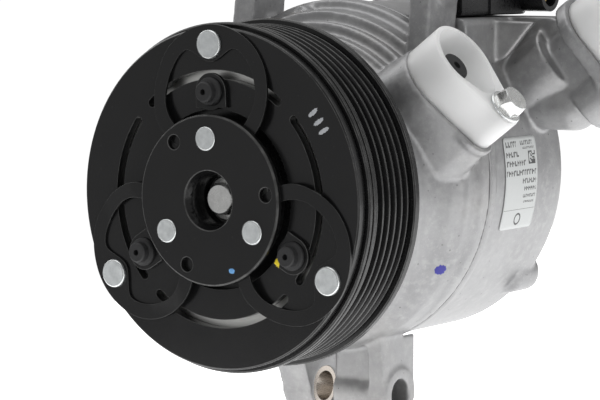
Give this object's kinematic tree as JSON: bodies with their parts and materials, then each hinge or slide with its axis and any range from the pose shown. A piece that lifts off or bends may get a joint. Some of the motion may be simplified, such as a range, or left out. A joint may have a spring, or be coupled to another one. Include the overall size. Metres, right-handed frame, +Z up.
{
  "type": "automotive ac compressor",
  "caption": "Vane-rotary car air-conditioning compressor with a ribbed belt pulley, magnetic clutch, cast body, capped ports and bolt lugs.",
  "frame": {"origin": "on the shaft axis, in the middle plane of the belt grooves", "axes": "+Y along the shaft from the clutch to the rear shell, +Z up, +X to the side of the refrigerant ports"},
  "size_m": [0.1689, 0.1383, 0.162],
  "materials": {
    "black_steel": "satin",
    "pulley_steel": "satin",
    "rivet_steel": "satin",
    "zinc_steel": "bright zinc",
    "bearing_steel": "ground",
    "spring_steel": "oiled",
    "bushing_steel": "machined",
    "cage_nylon": "matte",
    "black_rubber": "matte",
    "gasket_sheet": "coated",
    "cast_aluminium": "as cast",
    "pump_iron": "machined",
    "vane_aluminium": "machined",
    "coil_steel": "satin",
    "copper": "enamelled copper",
    "white_cap": "translucent",
    "black_plastic": "semi gloss",
    "pin_brass": "bright",
    "label_paper": "matte"
  },
  "bodies": {
    "housing": {"front_head": "cast_aluminium", "rear_shell": "cast_aluminium", "seam_gasket": "gasket_sheet", "shell_bolts": "zinc_steel", "mount_bushings": "bushing_steel", "relief_valve": "zinc_steel", "nose_snap_ring": "spring_steel", "bearing_inner_race": "bearing_steel", "coil_housing": "coil_steel", "coil_winding": "copper", "coil_screws": "zinc_steel", "check_valve_seat": "vane_aluminium", "connector_body": "black_plastic", "connector_pins": "pin_brass", "label": "label_paper", "front_side_block": "pump_iron", "cylinder_block": "pump_iron", "rear_side_block": "pump_iron", "block_bolts": "zinc_steel", "bearing_cups": "bearing_steel", "bearing_needles": "bearing_steel", "shaft_seal": "black_rubber", "seal_snap_ring": "spring_steel", "discharge_reeds": "spring_steel", "reed_stops": "spring_steel", "reed_screws": "zinc_steel"},
    "pulley_wheel": {"pulley": "pulley_steel", "bearing_outer_race": "bearing_steel", "bearing_seals": "black_rubber", "pulley_snap_ring": "spring_steel"},
    "ball_set": {"bearing_balls": "bearing_steel", "ball_cage": "cage_nylon"},
    "drive_line": {"clutch_hub": "black_steel", "hub_rivets": "rivet_steel", "hub_bolt": "zinc_steel", "hub_washer": "zinc_steel", "gap_shim": "bearing_steel", "leaf_springs": "black_steel", "shaft": "bearing_steel", "rotor": "bearing_steel"},
    "armature": {"armature_plate": "black_steel", "armature_rivets": "rivet_steel", "stopper_tabs": "black_steel", "rubber_stoppers": "black_rubber"},
    "suction_closure": {"suction_cap": "white_cap", "suction_cap_bolt": "zinc_steel", "suction_plug": "black_rubber"},
    "discharge_closure": {"discharge_cap": "white_cap", "discharge_cap_bolt": "zinc_steel", "discharge_plug": "black_rubber"},
    "suction_valve": {"check_valve_poppet": "cage_nylon"},
    "vane_1": {"vane_1": "vane_aluminium"},
    "vane_2": {"vane_2": "vane_aluminium"},
    "vane_3": {"vane_3": "vane_aluminium"},
    "vane_4": {"vane_4": "vane_aluminium"},
    "vane_5": {"vane_5": "vane_aluminium"}
  },
  "joints": [
    {"name": "pulley_spin", "type": "hinge", "parent": "housing", "child": "pulley_wheel", "pos_m": [0, 0, 0], "axis": [0, 1, 0], "continuous": true},
    {"name": "ball_orbit", "type": "hinge", "parent": "housing", "child": "ball_set", "pos_m": [0, 0, 0], "axis": [0, 1, 0], "continuous": true},
    {"name": "shaft_spin", "type": "hinge", "parent": "housing", "child": "drive_line", "pos_m": [0, 0, 0], "axis": [0, 1, 0], "continuous": true},
    {"name": "armature_engage", "type": "slide", "parent": "drive_line", "child": "armature", "axis": [0, 1, 0], "range_m": [0, 0.0004], "stiffness_N_per_m": 20000, "deforming": ["leaf_springs"]},
    {"name": "suction_closure_lift", "type": "slide", "parent": "housing", "child": "suction_closure", "axis": [0.7986, 0, 0.6018], "range_m": [0, 0.035]},
    {"name": "discharge_closure_lift", "type": "slide", "parent": "housing", "child": "discharge_closure", "axis": [0.7986, 0, 0.6018], "range_m": [0, 0.035]},
    {"name": "suction_valve_lift", "type": "slide", "parent": "housing", "child": "suction_valve", "axis": [-0.7986, 0, -0.6018], "range_m": [0, 0.0035], "stiffness_N_per_m": 60},
    {"name": "vane_1_slide", "type": "slide", "parent": "drive_line", "child": "vane_1", "axis": [0, 0, 1], "range_m": [-0.0045, 0]},
    {"name": "vane_2_slide", "type": "slide", "parent": "drive_line", "child": "vane_2", "axis": [-0.9511, 0, 0.309], "range_m": [-0.0045, 0]},
    {"name": "vane_3_slide", "type": "slide", "parent": "drive_line", "child": "vane_3", "axis": [-0.5878, 0, -0.809], "range_m": [-0.0045, 0]},
    {"name": "vane_4_slide", "type": "slide", "parent": "drive_line", "child": "vane_4", "axis": [0.5878, 0, -0.809], "range_m": [-0.0045, 0]},
    {"name": "vane_5_slide", "type": "slide", "parent": "drive_line", "child": "vane_5", "axis": [0.9511, 0, 0.309], "range_m": [-0.0045, 0]}
  ],
  "couplings": [
    {"joint": "ball_orbit", "follows": "pulley_spin", "ratio": 0.578}
  ]
}
